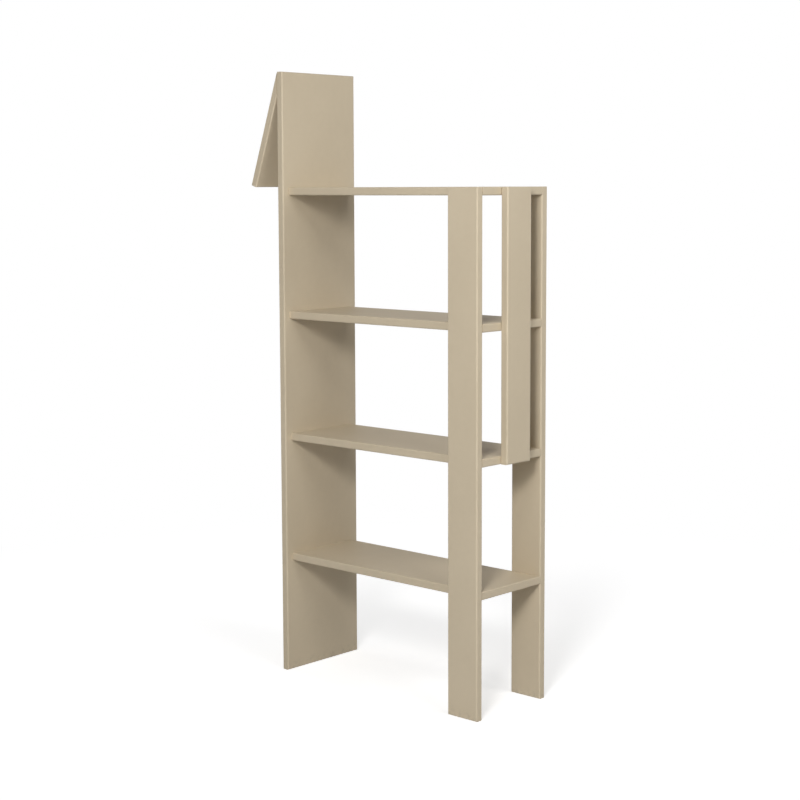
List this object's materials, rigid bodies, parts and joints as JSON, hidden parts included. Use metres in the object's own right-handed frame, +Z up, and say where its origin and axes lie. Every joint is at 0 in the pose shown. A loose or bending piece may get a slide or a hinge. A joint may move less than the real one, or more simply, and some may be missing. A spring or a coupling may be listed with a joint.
{
  "type": "bookshelf",
  "caption": "Open children's bookshelf in the outline of a giraffe: a tall neck board with a sloped head board, open shelves, narrow leg boards and a tail board.",
  "frame": {"origin": "on the floor, under the middle of the whole outline, at mid depth", "axes": "+X from the head and neck towards the tail, +Y to the rear, where the wall bracket is, +Z up"},
  "size_m": [0.707, 0.236, 1.4],
  "materials": {
    "painted_board": "matt beige paint over fibreboard",
    "cast_zinc": "cast, satin",
    "plated_steel": "zinc plated",
    "beech_wood": "bare beech",
    "bracket_steel": "zinc plated sheet"
  },
  "bodies": {
    "root": {"bottom_shelf": "painted_board", "bottom_shelf_cams": "cast_zinc", "bracket_screws": "plated_steel", "front_leg": "painted_board", "front_leg_cam_bolts": "plated_steel", "front_leg_dowels": "beech_wood", "head_board": "painted_board", "head_dowels": "beech_wood", "lower_shelf": "painted_board", "lower_shelf_cams": "cast_zinc", "neck_cam_bolts": "plated_steel", "neck_dowels": "beech_wood", "neck_panel": "painted_board", "rear_leg": "painted_board", "rear_leg_cam_bolts": "plated_steel", "rear_leg_dowels": "beech_wood", "tail_board": "painted_board", "tail_cam_bolts": "plated_steel", "tail_dowels": "beech_wood", "top_shelf": "painted_board", "top_shelf_cams": "cast_zinc", "upper_shelf": "painted_board", "upper_shelf_cams": "cast_zinc", "wall_bracket": "bracket_steel"}
  },
  "joints": []
}
